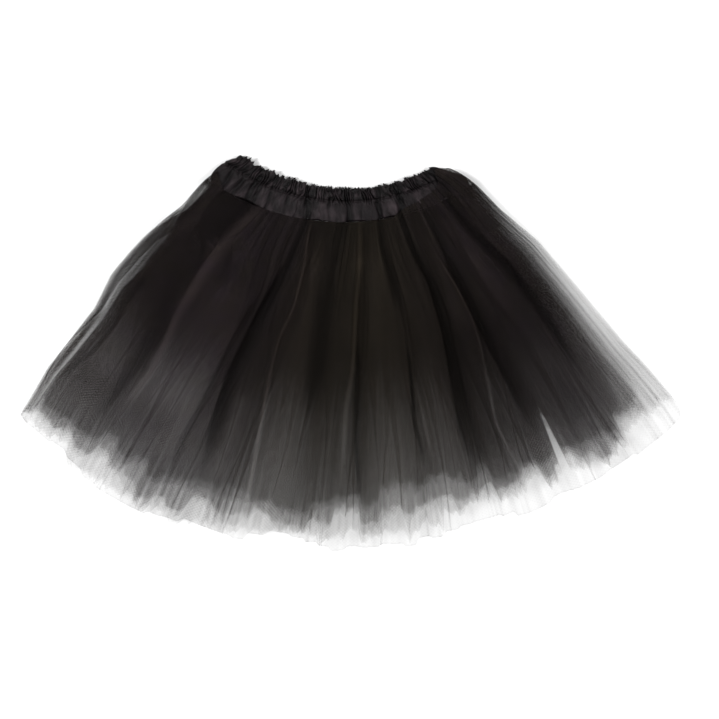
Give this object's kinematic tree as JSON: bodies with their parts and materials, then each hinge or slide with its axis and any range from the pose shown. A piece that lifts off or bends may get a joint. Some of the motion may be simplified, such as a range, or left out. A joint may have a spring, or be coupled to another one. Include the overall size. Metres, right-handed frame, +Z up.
{
  "type": "ballet tutu",
  "caption": "Flat-laid ballet skirt: three nested layers of gathered net below a crimped elastic waistband of satin, with a short satin lining inside",
  "frame": {"origin": "on the surface the garment lies on, under the middle of its outline", "axes": "+X across the skirt to the right as seen from its front, +Y towards the waist, +Z up out of the front"},
  "size_m": [0.7286, 0.4372, 0.0213],
  "materials": {
    "black_satin": "black polyester satin, gathered, soft sheen",
    "black_tulle": "soft black nylon net, see-through, matt",
    "lining_satin": "thin black lining satin"
  },
  "bodies": {
    "root": {"waistband": "black_satin", "tulle_outer": "black_tulle", "tulle_middle": "black_tulle", "tulle_inner": "black_tulle", "lining": "lining_satin"}
  },
  "joints": []
}
